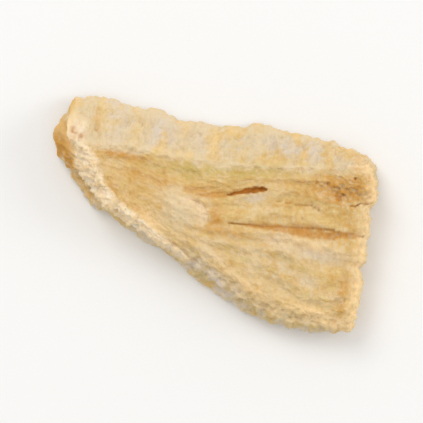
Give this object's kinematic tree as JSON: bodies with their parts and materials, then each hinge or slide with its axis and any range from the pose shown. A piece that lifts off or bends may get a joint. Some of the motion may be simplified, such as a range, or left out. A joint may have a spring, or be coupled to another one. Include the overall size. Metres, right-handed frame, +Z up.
{
  "type": "freeze-dried pineapple wedge",
  "caption": "Wedge of freeze-dried pineapple lying flat: fibres fan from a narrow core end to a wide nicked rind end, with slits, a raised core lip and sloping cut walls.",
  "frame": {"origin": "middle of the bounding box, at its bottom, where the wedge rests", "axes": "+X from the narrow core end to the wide rind end, +Y towards the broad sloping cut wall, +Z up out of the cut face that the picture shows"},
  "size_m": [0.0464, 0.026, 0.0087],
  "materials": {
    "dried_flesh": "dry, chalky and fibrous, without shine"
  },
  "bodies": {
    "root": {"wedge": "dried_flesh"}
  },
  "joints": []
}
